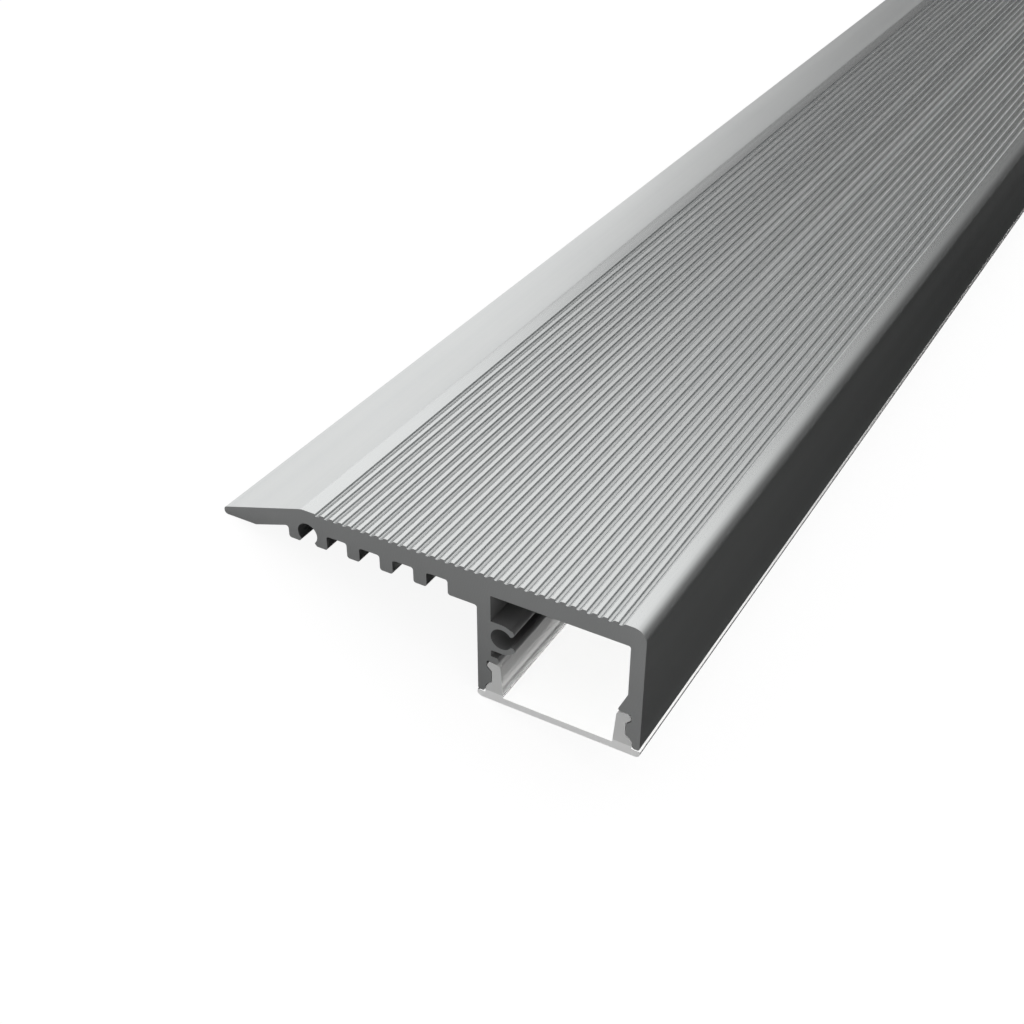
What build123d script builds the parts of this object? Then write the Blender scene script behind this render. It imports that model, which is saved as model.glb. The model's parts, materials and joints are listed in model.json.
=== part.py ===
from build123d import *
from math import asin, atan2, cos, degrees, hypot, radians, sin
import os

# Stair nosing: one extruded aluminium profile, and the opal cover that snaps between its legs.
# The section is drawn as it sits on a stair. y runs back from the front face, z runs up from the
# tread, and the profile runs along x. All sizes are in millimetres and all angles in degrees.

# Stock length
length = 1000.0

# Tread plate, and the level at which its underside sits on the step
plate_thickness = 3.2
seat_depth = 5.6
nose_radius = 1.9
front_land = 3.05
rear_land = 2.41

# Grooves that run along the tread: a slope down, a floor, and an upright wall that bites
groove_pitch = 1.5
groove_depth = 0.41
groove_slope = 0.41
groove_floor = 0.48
slope_top_round = 0.25
slope_foot_round = 0.4
wall_foot_round = 0.17
wall_top_round = 0.12

# Front leg and rear leg, with the light channel between them
leg_thickness = 2.1
leg_depth = 20.2
channel_width = 20.4
channel_round = 0.35

# Snap side of each leg: a tooth, a notch under it and a cove above the foot
tooth_reach = 1.45
tooth_height = 3.2
tooth_above_foot = 5.7
tooth_round = 0.35
notch_reach = 0.7
notch_wall = 1.15
notch_slope = 0.65
notch_round = 0.35
cove_above_foot = 1.95
cove_drop = 0.57
cove_round = 1.5
foot_width = 1.05
foot_round = 0.35
edge_round = 0.15

# Screw port on the rear leg: a C that opens into the channel
leg_port_radius = 1.65
leg_port_wall = 0.825
leg_port_mouth = 86.0
leg_port_turn = 5.0
leg_port_bead = 0.55
leg_port_lip = 0.45
ledge_thickness = 0.95
pocket_height = 1.1

# Seat pad behind the rear leg, and the feet under the tread
pad_width = 4.5
foot_bar_width = 2.1
foot_gap = 3.35
foot_bar_count = 3
bar_round = 0.4

# Block with the second screw port, which opens downwards
rear_port_radius = 1.65
rear_port_wall = 1.65
rear_port_floor = 0.05
rear_port_mouth = 82.0
rear_port_lip_round = 0.2

# Ramped lip behind the block
shoulder_behind_port = 0.75
shoulder_round = 2.5
lip_reach = 11.6
lip_tip_thickness = 1.15
lip_seat_width = 5.65
relief_height = 2.0

# Opal cover, with the clearance that it has to the legs
cover_thickness = 1.1
cover_clearance = 0.12
cover_overhang = 0.1
cover_round = 0.7
snap_leg_top = 1.35
snap_leg_root = 1.75
snap_top_slope = 0.25
snap_top_round = 0.5
hook_flat = 0.55
hook_chamfer = 0.35

# Levels and places that follow from the sizes above
foot_z = -leg_depth
tooth_z = foot_z + tooth_above_foot
rear_leg_y = leg_thickness + channel_width
rear_face_y = rear_leg_y + leg_thickness
channel_middle_y = leg_thickness + channel_width / 2
leg_port_outer = leg_port_radius + leg_port_wall
ledge_z = tooth_z + ledge_thickness
leg_port_y = rear_leg_y - leg_port_radius
leg_port_z = ledge_z + pocket_height + leg_port_outer
pad_back_y = rear_face_y + pad_width
block_front_y = pad_back_y + foot_bar_count * (foot_gap + foot_bar_width) + foot_gap
rear_port_y = block_front_y + rear_port_wall + rear_port_radius
rear_port_z = -seat_depth + rear_port_floor + rear_port_radius
block_back_y = rear_port_y + rear_port_radius + rear_port_wall
shoulder_y = rear_port_y + shoulder_behind_port
tip_y = block_back_y + lip_reach
lip_tip_round = lip_tip_thickness / 2


def filleted(corners, closed):
    """Edges of an outline whose corners are (y, z, radius)."""
    points = [(y, z) for y, z, radius in corners]
    radii = [radius for y, z, radius in corners]
    if not closed:
        radii = radii[1:-1]
    return FilletPolyline(*points, radius=radii, close=closed).edges()


def tread_grooves():
    """Edges of the grooves from the nose back to the ramp, and the y where they start and end."""
    groove_width = groove_slope + groove_floor
    steps = round((shoulder_y - rear_land - front_land - groove_width) / groove_pitch)
    half_rib = (groove_pitch - groove_width) / 2
    one_groove = filleted(
        [
            (-half_rib, 0, 0),
            (0, 0, slope_top_round),
            (groove_slope, -groove_depth, slope_foot_round),
            (groove_width, -groove_depth, wall_foot_round),
            (groove_width, 0, wall_top_round),
            (groove_width + half_rib, 0, 0),
        ],
        closed=False,
    )
    edges = []
    for step in range(steps + 1):
        groove_y = front_land + step * groove_pitch
        edges += [Pos(groove_y, 0) * edge for edge in one_groove]
    start_y = front_land - half_rib
    return edges, start_y, start_y + (steps + 1) * groove_pitch


def snap_side(leg_y, inward, ledge):
    """Corners down a leg's inner side, from its tooth to its foot.

    inward is +1 where the channel lies at larger y and -1 where it lies at smaller y. With a
    ledge, the tooth's sloping back is cut off level at the ledge.
    """
    def corner(reach, z, radius):
        return (leg_y + inward * reach, z, radius)

    if ledge:
        ledge_reach = tooth_reach * (1 - ledge_thickness / tooth_height)
        back = [corner(0, ledge_z, edge_round), corner(ledge_reach, ledge_z, edge_round)]
    else:
        back = [corner(0, tooth_z + tooth_height, edge_round)]
    foot_reach = foot_width - leg_thickness
    return back + [
        corner(tooth_reach, tooth_z, tooth_round),
        corner(-notch_reach, tooth_z, notch_round),
        corner(-notch_reach, tooth_z - notch_wall, notch_round),
        corner(0, tooth_z - notch_wall - notch_slope, edge_round),
        corner(0, foot_z + cove_above_foot, edge_round),
        corner(foot_reach, foot_z + cove_above_foot - cove_drop, cove_round),
        corner(foot_reach, foot_z, foot_round),
        corner(-leg_thickness, foot_z, foot_round),
    ]


def foot_bars():
    """Corners of the bars under the tread, from the seat pad back to the port block."""
    corners = []
    for bar in range(foot_bar_count):
        front_y = pad_back_y + foot_gap + bar * (foot_bar_width + foot_gap)
        back_y = front_y + foot_bar_width
        corners += [
            (front_y, -plate_thickness, bar_round),
            (front_y, -seat_depth, bar_round),
            (back_y, -seat_depth, bar_round),
            (back_y, -plate_thickness, bar_round),
        ]
    return corners


def body_outline():
    """Outer outline of the aluminium profile, without its screw ports."""
    grooves, first_y, last_y = tread_grooves()
    around = filleted(
        [(first_y, 0, 0), (0, 0, nose_radius)]
        + list(reversed(snap_side(leg_thickness, 1, ledge=False)))
        + [
            (leg_thickness, -plate_thickness, channel_round),
            (rear_leg_y, -plate_thickness, edge_round),
        ]
        + snap_side(rear_leg_y, -1, ledge=True)
        + [
            (rear_face_y, -seat_depth, bar_round),
            (pad_back_y, -seat_depth, bar_round),
            (pad_back_y, -plate_thickness, bar_round),
        ]
        + foot_bars()
        + [
            (block_front_y, -plate_thickness, bar_round),
            (block_front_y, -seat_depth, bar_round),
            (block_back_y, -seat_depth, bar_round),
            (block_back_y, -seat_depth + relief_height, bar_round),
            (tip_y - lip_seat_width, -seat_depth, bar_round),
            (tip_y, -seat_depth, lip_tip_round),
            (tip_y, -seat_depth + lip_tip_thickness, lip_tip_round),
            (shoulder_y, 0, shoulder_round),
            (last_y, 0, 0),
        ],
        closed=False,
    )
    return make_face(grooves + list(around))


def wedge(center_y, center_z, direction, mouth, reach):
    """Triangle that opens from a centre along a direction, wide enough for a port's mouth."""
    side = reach / cos(radians(mouth / 2))
    ends = []
    for angle in (direction - mouth / 2, direction + mouth / 2):
        ends.append((center_y + side * cos(radians(angle)), center_z + side * sin(radians(angle))))
    return make_face(Polyline((center_y, center_z), *ends, close=True))


def leg_port(body):
    """Add the C-shaped screw port to the rear leg."""
    direction = 180 - leg_port_turn
    boss_width = leg_port_radius + leg_thickness / 2
    ring = Pos(leg_port_y, leg_port_z) * Circle(leg_port_outer)
    ring += Pos(leg_port_y + boss_width / 2, leg_port_z) * Rectangle(boss_width, 2 * leg_port_outer)
    ring -= wedge(leg_port_y, leg_port_z, direction, leg_port_mouth, 2 * leg_port_outer)
    wall_middle = (leg_port_radius + leg_port_outer) / 2
    upper_end = radians(direction - leg_port_mouth / 2)
    lower_end = radians(direction + leg_port_mouth / 2)
    for angle, radius in ((upper_end, leg_port_bead), (lower_end, leg_port_lip)):
        bead = Pos(leg_port_y + wall_middle * cos(angle), leg_port_z + wall_middle * sin(angle))
        ring += bead * Circle(radius)
    return body + ring - Pos(leg_port_y, leg_port_z) * Circle(leg_port_radius)


def rear_port(body):
    """Cut the screw port that opens downwards in the block behind the feet."""
    body = body - Pos(rear_port_y, rear_port_z) * Circle(rear_port_radius)
    reach = 2 * (seat_depth + rear_port_z)
    body = body - wedge(rear_port_y, rear_port_z, -90, rear_port_mouth, reach)
    lips = []
    for vertex in body.vertices():
        away = hypot(vertex.X - rear_port_y, vertex.Y - rear_port_z)
        if vertex.Y < rear_port_z and away < rear_port_radius + rear_port_wall / 2:
            lips.append(vertex)
    return fillet(lips, rear_port_lip_round)


def cover_side(side):
    """Corners of one half of the cover, from inside the channel out to its lower edge.

    side is -1 for the half towards the front leg and +1 for the half towards the rear leg.
    """
    leg_reach = channel_width / 2
    notch_face = leg_reach + notch_reach - cover_clearance
    outer_face = leg_reach - cover_clearance
    root_face = leg_reach + leg_thickness - foot_width - cover_clearance
    lip_face = leg_reach + leg_thickness + cover_overhang
    hook_top = tooth_z - cover_clearance
    hook_foot = tooth_z - notch_wall + cover_clearance
    cove_top = foot_z + cove_above_foot - cover_clearance
    plate_top = foot_z - cover_clearance
    corners = [
        (outer_face - snap_leg_root, plate_top, edge_round),
        (outer_face - snap_leg_top, hook_top - snap_top_slope, snap_top_round),
        (notch_face - hook_chamfer, hook_top, edge_round),
        (notch_face, hook_top - hook_flat, edge_round),
        (notch_face, hook_foot, edge_round),
        (outer_face, hook_foot - notch_slope, edge_round),
        (outer_face, cove_top, edge_round),
        (root_face, cove_top - cove_drop, cove_round),
        (root_face, plate_top, edge_round),
        (lip_face, plate_top, edge_round),
        (lip_face, plate_top - cover_thickness, cover_round),
    ]
    return [(channel_middle_y + side * reach, z, radius) for reach, z, radius in corners]


def profile_section():
    """Whole section of the aluminium profile."""
    return rear_port(leg_port(body_outline()))


def cover_section():
    """Whole section of the opal cover."""
    corners = list(reversed(cover_side(-1))) + cover_side(1)
    return make_face(filleted(corners, closed=True))


def extruded(section):
    """Run a section along x, half the stock length each way."""
    return extrude(Plane.YZ * section, amount=length / 2, both=True)


def resting_tilt():
    """Degrees that the upright section tips back, until lip and cover both touch the floor.

    The floor is the common tangent under the round of the lip's tip and the round of the
    cover's rear lower edge.
    """
    lip_y = tip_y - lip_tip_round
    lip_z = -seat_depth + lip_tip_round
    edge_y = rear_face_y + cover_overhang - cover_round
    edge_z = foot_z - cover_clearance - cover_thickness + cover_round
    apart = hypot(lip_y - edge_y, lip_z - edge_z)
    slope = atan2(lip_z - edge_z, lip_y - edge_y)
    return degrees(slope - asin((lip_tip_round - cover_round) / apart))


def main():
    pieces = {
        "nosing_profile": extruded(profile_section()),
        "opal_cover": extruded(cover_section()),
    }
    tilt = resting_tilt()
    tipped = {name: Rot(X=-tilt) * piece for name, piece in pieces.items()}
    box = Compound(list(tipped.values())).bounding_box()
    to_floor = Pos(0, -box.center().Y, -box.min.Z)
    os.makedirs("parts", exist_ok=True)
    for name, piece in tipped.items():
        export_step(to_floor * piece, f"parts/{name}.step")
        print(name, "volume", round(piece.volume), "cubic mm")
    print("tips back", round(tilt, 3), "degrees, box", box.size)


main()
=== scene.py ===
# %% [markdown]
# A stair nosing covers the front edge of a step. This one is a long aluminium extrusion with a
# ribbed tread, and an opal plastic cover closes the light channel under its nose. Both pieces
# are one section drawn out straight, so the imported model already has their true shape, down to
# the grooves, the screw ports and the snap hooks. Modelling them a second time would only risk
# a misfit, so this script keeps those meshes and spends its effort on their finishes.

# %% Load the frame
import json
from math import atan2, degrees, radians

import bpy
from mathutils import Euler, Matrix, Vector


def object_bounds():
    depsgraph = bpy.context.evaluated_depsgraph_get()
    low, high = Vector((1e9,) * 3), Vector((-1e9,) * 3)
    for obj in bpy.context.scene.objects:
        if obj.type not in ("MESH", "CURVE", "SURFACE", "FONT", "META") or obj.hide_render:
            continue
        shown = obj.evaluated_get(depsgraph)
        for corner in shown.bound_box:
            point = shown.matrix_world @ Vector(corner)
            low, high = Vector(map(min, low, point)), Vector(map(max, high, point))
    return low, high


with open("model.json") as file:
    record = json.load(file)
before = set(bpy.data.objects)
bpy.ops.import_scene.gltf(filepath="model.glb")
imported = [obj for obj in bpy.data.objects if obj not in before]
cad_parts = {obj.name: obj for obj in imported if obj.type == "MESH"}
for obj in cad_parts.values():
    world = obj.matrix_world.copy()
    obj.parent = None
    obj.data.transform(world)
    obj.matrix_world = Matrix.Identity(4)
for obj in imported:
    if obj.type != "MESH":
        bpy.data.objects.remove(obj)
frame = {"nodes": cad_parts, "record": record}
cad_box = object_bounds()
profile = frame["nodes"]["nosing_profile"]
cover = frame["nodes"]["opal_cover"]
print("loaded", profile.name, "and", cover.name)
print("box in mm", [round(1000 * (high - low), 1) for low, high in zip(*cad_box)])

# %% [markdown]
# Free on a floor, the nosing tips back until the cover's rear edge and the tip of the ramped
# lip carry it, and that is how it is stored. The finishes and the camera are easier to describe
# in the nosing's own directions, though: x along the stock, y back from the riser face and z up
# from the tread. The riser seat, the plain rear face of the rear leg, tells how far the nosing
# is tipped and where it stands.

# %% The nosing's own directions
mounts = {mount["name"]: mount for mount in frame["record"]["mounts"]}
riser_seat = mounts["riser_seat"]
tip_angle = atan2(-riser_seat["axis"][2], riser_seat["axis"][1])
tipped = Matrix.Rotation(-tip_angle, 3, "X")
print("tipped back by", round(degrees(tip_angle), 2), "degrees")

# %% The corner where riser face and tread meet
riser_seat_from_corner = Vector((0, 0.0246, -0.0129))
front_corner = Vector(riser_seat["pos_m"]) - tipped @ riser_seat_from_corner
near_end = cad_box[0][0]
near_corner = Vector((near_end, front_corner.y, front_corner.z))
print("near corner in mm", [round(1000 * c, 1) for c in near_corner])

# %% [markdown]
# The camera looks down on the near end and along the stock. Its place was worked out from the
# vanishing lines of the grooves, the legs and the section: a 50 mm lens, about 35 degrees down
# from the tread's plane and turned about 30 degrees away from the stock. It is set in the
# nosing's own directions and then tipped back with it, so that the nosing looks upright.

# %% Camera
camera_from_corner = Vector((-0.124722, -0.05285, 0.112076))
camera_down = radians(34.98)
camera_turn = radians(30.02)
camera_data = bpy.data.cameras.new("camera")
camera_data.lens = 50
camera_data.clip_start = 0.01
camera = bpy.data.objects.new("camera", camera_data)
aim = Euler((radians(90) - camera_down, 0, camera_turn - radians(90))).to_matrix()
camera_place = Matrix.Translation(near_corner + tipped @ camera_from_corner)
camera.matrix_world = camera_place @ (tipped @ aim).to_4x4()
bpy.context.scene.collection.objects.link(camera)
bpy.context.scene.camera = camera
print("camera at", [round(c, 3) for c in camera.matrix_world.translation])

# %% [markdown]
# A finish is a tree of shader nodes. A few small helpers keep the trees short: one starts a
# material and gives back its tree and its main shader, and one adds a node and fills its
# inputs. An input takes either a plain value or another node's output.

# %% Start a material and add nodes
def start_material(name):
    material = bpy.data.materials.new(name)
    material.use_nodes = True
    return material, material.node_tree, material.node_tree.nodes["Principled BSDF"]


def fill_socket(tree, socket, value):
    if isinstance(value, bpy.types.NodeSocket):
        tree.links.new(value, socket)
    else:
        socket.default_value = value


def fill(tree, node, inputs):
    for name, value in inputs.items():
        fill_socket(tree, node.inputs[name], value)


def add(tree, kind, inputs, **settings):
    node = tree.nodes.new("ShaderNode" + kind)
    for name, value in settings.items():
        setattr(node, name, value)
    fill(tree, node, inputs)
    return node


# %% [markdown]
# Numbers, directions and colours are worked out in the tree as well. Each of these helpers adds
# one node and gives back its output, so a sum of patterns reads like a sum.

# %% Numbers in a tree
def calculate(tree, operation, first, second):
    node = add(tree, "Math", {}, operation=operation)
    fill_socket(tree, node.inputs[0], first)
    fill_socket(tree, node.inputs[1], second)
    return node.outputs["Value"]


def plus(tree, first, second):
    return calculate(tree, "ADD", first, second)


def times(tree, first, second):
    return calculate(tree, "MULTIPLY", first, second)


def above(tree, value, limit):
    return calculate(tree, "GREATER_THAN", value, limit)


def below(tree, value, limit):
    return calculate(tree, "LESS_THAN", value, limit)


def opposite(tree, share):
    return calculate(tree, "SUBTRACT", 1, share)


# %% Directions and colours in a tree
def facing(tree, vector, direction):
    """How far a vector points along a direction: 1 straight along it, -1 straight against it."""
    node = add(tree, "VectorMath", {}, operation="DOT_PRODUCT")
    fill_socket(tree, node.inputs[0], vector)
    fill_socket(tree, node.inputs[1], direction)
    return node.outputs["Value"]


def mix(tree, factor, first, second):
    """Blend two colours, each a plain colour or another node's output."""
    node = add(tree, "Mix", {}, data_type="RGBA")
    named = {"Factor_Float": factor, "A_Color": first, "B_Color": second}
    for socket in node.inputs:
        if socket.identifier in named:
            fill_socket(tree, socket, named[socket.identifier])
    return [output for output in node.outputs if output.identifier == "Result_Color"][0]


# %% [markdown]
# Every pattern below starts from Object coordinates, turned and moved into the nosing's own
# directions by one Mapping node. A second Mapping squeezes a pattern across the stock and
# stretches it along, which is what makes a noise look drawn through a die.

# %% Coordinates in the nosing's own directions
def own_coordinates(tree):
    object_coordinates = add(tree, "TexCoord", {}).outputs["Object"]
    to_corner = -(tipped.inverted() @ front_corner)
    untip = {"Vector": object_coordinates, "Rotation": (tip_angle, 0, 0), "Location": to_corner}
    return add(tree, "Mapping", untip).outputs["Vector"]


def split(tree, vector):
    return add(tree, "SeparateXYZ", {"Vector": vector}).outputs


def face_normal(tree):
    return add(tree, "TexCoord", {}).outputs["Normal"]


# %% Patterns
noise_low = 0.3
noise_high = 0.7


def noise(tree, vector, scale, detail):
    inputs = {"Vector": vector, "Scale": scale, "Detail": detail}
    return add(tree, "TexNoise", inputs).outputs["Fac"]


def grain(tree, own, size, detail):
    """Even noise with features of that size in metres."""
    return noise(tree, own, 1 / size, detail)


def streaks(tree, own, width, length, detail):
    """Noise whose features are as wide and as long, in metres, as asked."""
    stretch = {"Vector": own, "Scale": (1 / length, 1 / width, 1 / width)}
    return noise(tree, add(tree, "Mapping", stretch).outputs["Vector"], 1, detail)


def spread(tree, value, low, high):
    """Map a noise's usual range to low .. high."""
    limits = {"Value": value, "From Min": noise_low, "From Max": noise_high}
    limits.update({"To Min": low, "To Max": high})
    return add(tree, "MapRange", limits).outputs["Result"]


# %% [markdown]
# Both ends are sawn. The end faces are the only ones that look along the stock, so the x part
# of the object's own normal finds them, with no second material and no change to the mesh. A
# circular saw leaves shallow arcs round its spindle, which is taken to stand behind the stock.
# A wave texture draws them as rings, which are 0.314 apart at a scale of 1.

# %% Sawn ends
end_face_from = 0.9
saw_spindle_back = 0.16
saw_spindle_up = 0.03
saw_mark_spacing = 0.0004
ring_spacing_at_scale_one = 0.314


def sawn_end(tree):
    along = split(tree, face_normal(tree))["X"]
    return above(tree, calculate(tree, "ABSOLUTE", along, 0), end_face_from)


def saw_marks(tree, own):
    centre = {"Vector": own, "Location": (0, -saw_spindle_back, -saw_spindle_up)}
    round_spindle = add(tree, "Mapping", centre).outputs["Vector"]
    arcs = {"Vector": round_spindle, "Scale": ring_spacing_at_scale_one / saw_mark_spacing}
    arcs.update({"Distortion": 3, "Detail": 3, "Detail Scale": 0.4})
    return add(tree, "TexWave", arcs, wave_type="RINGS", rings_direction="X").outputs["Fac"]


# %% [markdown]
# The profile is silver anodised aluminium. Up close it shows fine die lines along the stock,
# wider and fainter bands, a slight cloudiness from the bath, and pores. Each is a noise of its
# own size. A picture of real metal would show the same, but would have to be stretched over a
# metre of stock.

# %% Patterns of the silver metal
def silver_patterns(tree, own):
    return {
        "die_lines": streaks(tree, own, width=0.00022, length=0.25, detail=2),
        "bands": streaks(tree, own, width=0.0035, length=0.6, detail=1),
        "clouds": grain(tree, own, size=0.035, detail=3),
        "pores": grain(tree, own, size=0.00012, detail=1),
        "saw_marks": saw_marks(tree, own),
    }


# %% [markdown]
# Some faces get a tone of their own that stands in for light and shade. The upright walls of the
# grooves are darkened with painted shade, the slopes opposite them are lightened with painted
# light and made softer, and the inside of the light channel is darkened with painted shade and
# made dull. The cause isn't known: it could be dirt, the die or the bath. Their tones are set by
# comparing renders with the photograph. Each face is found by where it lies in the section and by
# which way it looks: a groove's wall looks forward, its slope back and up.

# %% Faces that differ
groove_bottom = 0.0005
wall_from = 0.8
slope_from = 0.6
channel_front = 0.0009
channel_back = 0.0238
channel_top = 0.0028


def silver_faces(tree, own):
    """For each kind of face, an output that is 1 on it and 0 elsewhere."""
    sawn = sawn_end(tree)
    drawn = opposite(tree, sawn)
    depth, height = split(tree, own)["Y"], split(tree, own)["Z"]
    forward = facing(tree, face_normal(tree), tipped @ Vector((0, -1, 0)))
    near_top = above(tree, height, -groove_bottom)
    inside = times(tree, above(tree, depth, channel_front), below(tree, depth, channel_back))
    inside = times(tree, inside, below(tree, height, -channel_top))
    return {
        "sawn": sawn,
        "drawn": drawn,
        "wall": times(tree, near_top, above(tree, forward, wall_from)),
        "slope": times(tree, near_top, below(tree, forward, -slope_from)),
        "inside": times(tree, inside, drawn),
    }


# %% [markdown]
# The colour goes from a dull to a light silver with the sum of the patterns. Painted shade on the
# groove walls and inside the channel and painted light on the slopes are then blended in over it.

# %% Colour of the silver metal
silver_light = (0.665, 0.675, 0.67, 1)
silver_dull = (0.59, 0.605, 0.605, 1)
silver_sawn = (0.60, 0.61, 0.61, 1)
# The next three tones are painted: shade on the groove walls, light on the slopes, shade inside
# the light channel.
wall_painted_shade = (0.3, 0.31, 0.31, 1)
slope_painted_light = (0.95, 0.96, 0.96, 1)
inside_painted_shade = (0.24, 0.24, 0.24, 1)
pattern_shares = {"die_lines": 0.4, "bands": 0.35, "clouds": 0.25}
saw_mark_share = 0.15


def silver_colour(tree, patterns, faces):
    tone = 0
    for name, share in pattern_shares.items():
        tone = plus(tree, tone, spread(tree, patterns[name], 0, share))
    colour = mix(tree, tone, silver_dull, silver_light)
    # Painted shade and painted light go over the metal's own colour here.
    painted_light_and_shade = {"wall": wall_painted_shade, "slope": slope_painted_light, "inside": inside_painted_shade}
    for name, painted_tone in painted_light_and_shade.items():
        colour = mix(tree, faces[name], colour, painted_tone)
    marked = times(tree, patterns["saw_marks"], saw_mark_share)
    sawn_colour = mix(tree, marked, silver_sawn, silver_light)
    return mix(tree, faces["sawn"], colour, sawn_colour)


# %% [markdown]
# The oxide layer is satin: it still mirrors what stands round it, but softly, which is what a
# middling roughness gives. The tops of the ribs are made a little smoother than the grooves
# between them, as handling and stacking would leave them.

# %% Roughness of the silver metal
crest_depth = 0.00015
crest_roughness = 0.27
groove_roughness = 0.31
roughness_wander = 0.02
more_matt = {"sawn": 0.03, "slope": 0.25, "inside": 0.35}


def silver_roughness(tree, own, patterns, faces):
    crest = {"Value": split(tree, own)["Z"], "From Min": -crest_depth, "From Max": 0}
    crest.update({"To Min": groove_roughness, "To Max": crest_roughness})
    roughness = add(tree, "MapRange", crest).outputs["Result"]
    for name in ("bands", "pores"):
        wander = spread(tree, patterns[name], -roughness_wander, roughness_wander)
        roughness = plus(tree, roughness, wander)
    for name, more in more_matt.items():
        roughness = plus(tree, roughness, times(tree, faces[name], more))
    return roughness


# %% [markdown]
# Die lines and saw marks are a few thousandths of a millimetre deep, far too fine for the mesh.
# Two Bump nodes in a row tilt the reflections instead, one on the drawn faces and one on the
# ends.

# %% Relief of the silver metal
die_line_height = 0.000004
saw_mark_height = 0.000004


def silver_relief(tree, patterns, faces):
    lines = {"Height": times(tree, patterns["die_lines"], faces["drawn"]), "Strength": 1}
    lines["Distance"] = die_line_height
    marks = {"Height": times(tree, patterns["saw_marks"], faces["sawn"]), "Strength": 1}
    marks["Distance"] = saw_mark_height
    marks["Normal"] = add(tree, "Bump", lines).outputs["Normal"]
    return add(tree, "Bump", marks).outputs["Normal"]


# %% [markdown]
# Colour, roughness and relief come together in the main shader. Bare metal shows nothing but
# what it mirrors, in its own tint, so the shader is wholly metallic.

# %% Anodised aluminium
def anodised_aluminium():
    material, tree, shader = start_material("anodised_aluminium")
    own = own_coordinates(tree)
    patterns = silver_patterns(tree, own)
    faces = silver_faces(tree, own)
    surface = {"Base Color": silver_colour(tree, patterns, faces), "Metallic": 1}
    surface["Roughness"] = silver_roughness(tree, own, patterns, faces)
    surface["Normal"] = silver_relief(tree, patterns, faces)
    fill(tree, shader, surface)
    return material


# %% [markdown]
# The cover is opal plastic, milky and satin, to spread the light of a strip in the channel. Most
# light passes through it softly, so the shader is nearly all transmission, frosted by its
# roughness, over a little of a white body. Clear plastic would trap much light between its
# surfaces. Milk scatters it out again, and a low index of refraction stands for that. The snap
# legs sit in the notches of the aluminium, in shade. Their grey colour is painted shade, and they
# let less light through than the plate. They get a greyer and denser plastic, which is a guess:
# with the plate's own plastic they came out too bright.

# %% Colours of the opal plastic
opal_white = (1, 1, 0.995, 1)
opal_shade = (0.98, 0.98, 0.975, 1)
opal_sawn = (0.92, 0.92, 0.915, 1)
# The snap legs' grey, on their sides and on their sawn ends, is painted shade.
legs_painted_shade = (0.5, 0.5, 0.495, 1)
legs_sawn_painted_shade = (0.68, 0.68, 0.675, 1)
flow_line_share = 0.5
milk_share = 0.5


def opal_colour(tree, flow_lines, milk, legs, sawn):
    tone = spread(tree, flow_lines, 0, flow_line_share)
    tone = plus(tree, tone, spread(tree, milk, 0, milk_share))
    # Painted shade turns the snap legs grey.
    milky = mix(tree, legs, mix(tree, tone, opal_shade, opal_white), legs_painted_shade)
    return mix(tree, sawn, milky, mix(tree, legs, opal_sawn, legs_sawn_painted_shade))


# %% [markdown]
# Faint flow lines run along the cover. A saw roughens its ends, so they are more matt and let
# hardly any light through.

# %% Opal plastic
legs_bottom = 0.0199
legs_denser = 0.6
opal_clear = 0.95
opal_clear_sawn = 0.1
opal_index = 1.24
opal_smoothest = 0.14
opal_roughest = 0.18
opal_sawn_more_matt = 0.2
flow_line_height = 0.0000008


def opal_plastic():
    material, tree, shader = start_material("opal_plastic")
    own = own_coordinates(tree)
    flow_lines = streaks(tree, own, width=0.0006, length=0.3, detail=1)
    milk = grain(tree, own, size=0.012, detail=2)
    legs = above(tree, split(tree, own)["Z"], -legs_bottom)
    sawn = sawn_end(tree)

    satin = spread(tree, flow_lines, opal_smoothest, opal_roughest)
    clear = {"Value": sawn, "To Min": opal_clear, "To Max": opal_clear_sawn}
    passing = add(tree, "MapRange", clear).outputs["Result"]
    past_legs = opposite(tree, times(tree, legs, legs_denser))
    relief = {"Height": mix(tree, sawn, flow_lines, saw_marks(tree, own)), "Strength": 1}
    relief["Distance"] = flow_line_height

    surface = {"Base Color": opal_colour(tree, flow_lines, milk, legs, sawn), "IOR": opal_index}
    surface["Roughness"] = plus(tree, satin, times(tree, sawn, opal_sawn_more_matt))
    surface["Transmission Weight"] = times(tree, passing, past_legs)
    surface["Normal"] = add(tree, "Bump", relief).outputs["Normal"]
    fill(tree, shader, surface)
    return material


# %% [markdown]
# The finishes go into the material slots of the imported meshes, which stay where they are.

# %% Put the finishes on
def finish_with(piece, material):
    piece.data.materials.clear()
    piece.data.materials.append(material)
    print(piece.name, "has", len(material.node_tree.nodes), "nodes of", material.name)


finish_with(profile, anodised_aluminium())
finish_with(cover, opal_plastic())

# %% [markdown]
# The nosing lies on a plain pale floor. Camera, glossy and transmitted rays see the floor
# nearly glowing, which gives the white background, also in the metal and through the opal
# cover, while the part of it that stays matt keeps a soft shadow. Through the cover it is a
# little brighter, to make up for what the plastic takes. All other rays see a plain matt
# floor, so that the underside of the nosing isn't lit from below.

# %% Flat pieces of the studio
def flat_piece(name, size_x, size_y, middle):
    bpy.ops.mesh.primitive_plane_add(size=1)
    piece = bpy.context.object
    piece.name = name
    piece.data.transform(Matrix.Diagonal((size_x, size_y, 1, 1)))
    piece.data.transform(Matrix.Translation(middle))
    return piece


def matt(tree, colour):
    return add(tree, "BsdfDiffuse", {"Color": colour}).outputs["BSDF"]


# %% Floor
floor_size = 24
floor_glow = 0.9
floor_glow_through = 0.15
floor_pale = (0.12, 0.12, 0.12, 1)
floor_bounce = (0.12, 0.12, 0.12, 1)


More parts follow.
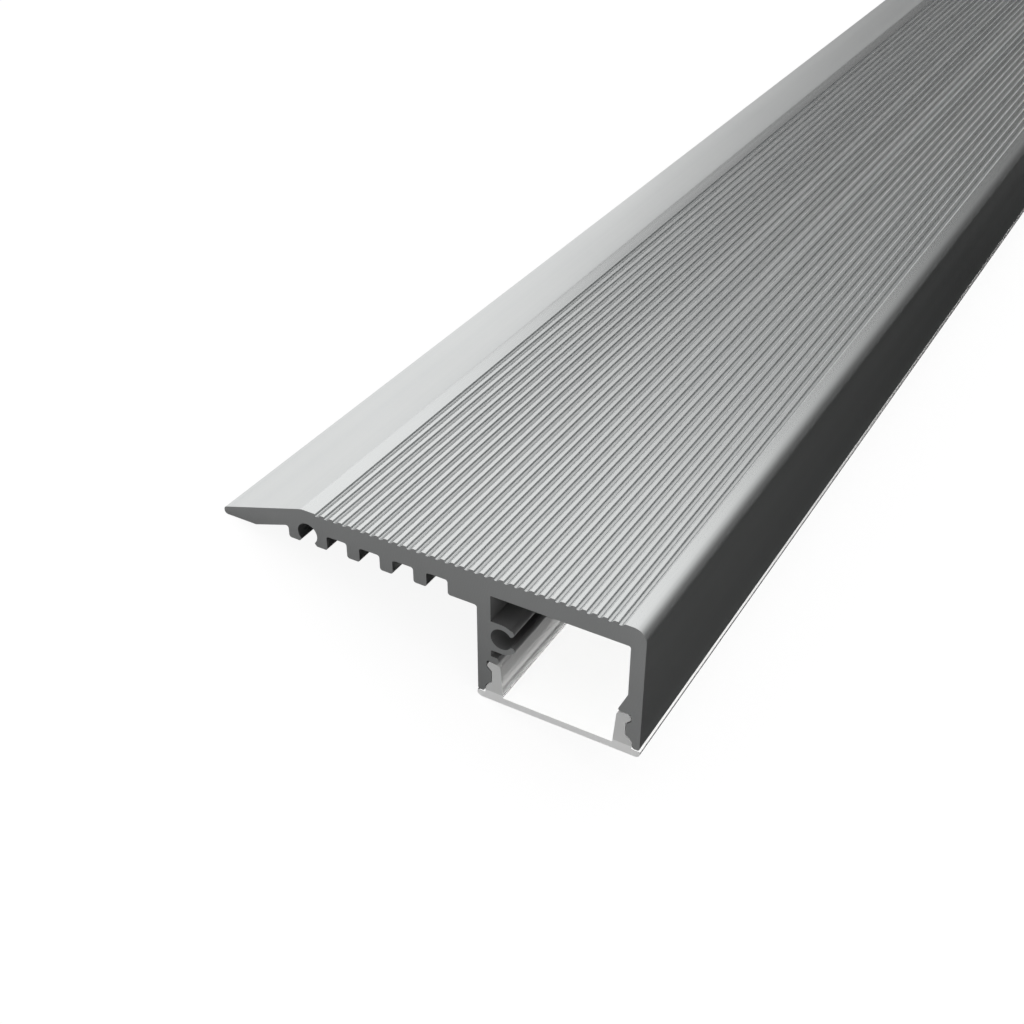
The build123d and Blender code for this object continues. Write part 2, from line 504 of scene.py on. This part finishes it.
def floor_material():
    material, tree, shader = start_material("pale_floor")
    tree.nodes.remove(shader)
    rays = add(tree, "LightPath", {}).outputs
    seen = calculate(tree, "MAXIMUM", rays["Is Camera Ray"], rays["Is Glossy Ray"])
    seen = calculate(tree, "MAXIMUM", seen, rays["Is Transmission Ray"])
    level = plus(tree, times(tree, rays["Is Transmission Ray"], floor_glow_through), floor_glow)
    glow = add(tree, "Emission", {"Strength": level}).outputs["Emission"]
    pale = add(tree, "AddShader", {})
    fill_socket(tree, pale.inputs[0], glow)
    fill_socket(tree, pale.inputs[1], matt(tree, floor_pale))
    choice = add(tree, "MixShader", {"Fac": seen})
    fill_socket(tree, choice.inputs[1], matt(tree, floor_bounce))
    fill_socket(tree, choice.inputs[2], pale.outputs["Shader"])
    fill(tree, tree.nodes["Material Output"], {"Surface": choice.outputs["Shader"]})
    return material


floor = flat_piece("floor", floor_size, floor_size, (0, 0, 0))
floor.data.materials.append(floor_material())
print("floor", floor.dimensions.x, "m wide")

# %% [markdown]
# A white wall far behind carries the background on above the horizon. Only the camera and the
# opal cover see it, so it adds no light to the metal.

# %% Wall
wall_height = 8
wall_radius = floor_size / 2
bpy.ops.mesh.primitive_cylinder_add(radius=wall_radius, depth=wall_height, end_fill_type="NOTHING")
wall = bpy.context.object
wall.name = "wall"
wall_material, wall_tree, wall_shader = start_material("white_wall")
wall_tree.nodes.remove(wall_shader)
wall_glow = add(wall_tree, "Emission", {}).outputs["Emission"]
fill(wall_tree, wall_tree.nodes["Material Output"], {"Surface": wall_glow})
wall.data.materials.append(wall_material)
wall.visible_diffuse = False
wall.visible_glossy = False
wall.visible_shadow = False
print("wall", wall_height, "m high, half of it above the floor")

# %% [markdown]
# Satin metal takes its tone from what it mirrors. The riser, the gaps under the tread and the
# sawn end look down at the floor, and all are dark, as over a dark table. Cards lie there, out
# of the camera's sight: a black one under and before the stock, a grey one before its near end,
# and a third behind it, which darkens the far part of the ramp. The black and the third fade
# from one tone to another over a short way along the stock.

# %% A card on the floor
card_lift = 0.00002
card_fade = 0.2


def lay_card(name, size_x, size_y, start_x, middle_y, near_grey, far_grey):
    card = flat_piece(name, size_x, size_y, (start_x + size_x / 2, middle_y, card_lift))
    material, tree, shader = start_material(name)
    tree.nodes.remove(shader)
    along = split(tree, add(tree, "TexCoord", {}).outputs["Object"])["X"]
    fade = {"Value": along, "From Min": start_x, "From Max": start_x + card_fade}
    fade.update({"To Min": near_grey, "To Max": far_grey})
    grey = add(tree, "MapRange", fade).outputs["Result"]
    fill(tree, tree.nodes["Material Output"], {"Surface": matt(tree, grey)})
    card.data.materials.append(material)
    card.visible_camera = False
    card.visible_diffuse = False
    card.visible_transmission = False
    card.visible_shadow = False
    print(name, "lies at", [round(c, 2) for c in card.data.vertices[0].co])


# %% Three cards
black_card_back = cad_box[1][1] - 0.004
grey_card_middle = cad_box[0][1] + 0.685
far_card_start = near_end + 0.15
lay_card("black_card", size_x=3, size_y=1, start_x=near_end, middle_y=black_card_back - 0.5,
         near_grey=0.06, far_grey=0.012)
lay_card("grey_card", size_x=1, size_y=1.4, start_x=near_end - 1, middle_y=grey_card_middle,
         near_grey=0.25, far_grey=0.25)
lay_card("far_card", size_x=3, size_y=1.5, start_x=far_card_start, middle_y=black_card_back + 0.75,
         near_grey=0.95, far_grey=0.38)

# %% [markdown]
# The light comes from a tent, a white shell all round the table, which the world stands for. It
# is bright behind, above and at the near end, and it falls off smoothly towards the far end and
# the front. Only the angle between a direction and the tent's bright side counts, so one dot
# product and one colour ramp make the whole tent. The ribs mirror less and less of the bright
# side along the stock, which takes the metal from bright to dark.

# %% Light tent
bright_side = Vector((-0.896, 0.306, 0.322))
tent_levels = (
    (0, 0.02),
    (0.12, 0.09),
    (0.2, 0.19),
    (0.255, 0.5),
    (0.31, 1.28),
    (0.5, 1.15),
    (1, 0.95),
)


def light_tent():
    world = bpy.data.worlds.new("light_tent")
    world.use_nodes = True
    tree = world.node_tree
    outward = add(tree, "TexCoord", {}).outputs["Generated"]
    share = {"Value": facing(tree, outward, bright_side), "From Min": -1, "From Max": 1}
    ramp = add(tree, "ValToRGB", {"Fac": add(tree, "MapRange", share).outputs["Result"]})
    stops = ramp.color_ramp.elements
    for position, level in tent_levels[1:-1]:
        stops.new(position)
    for stop, (position, level) in zip(stops, tent_levels):
        stop.color = (level, level, level, 1)
    fill(tree, tree.nodes["Background"], {"Color": ramp.outputs["Color"]})
    return world


bpy.context.scene.world = light_tent()
bpy.context.scene.view_settings.view_transform = "Standard"
print("tent levels", [level for position, level in tent_levels])
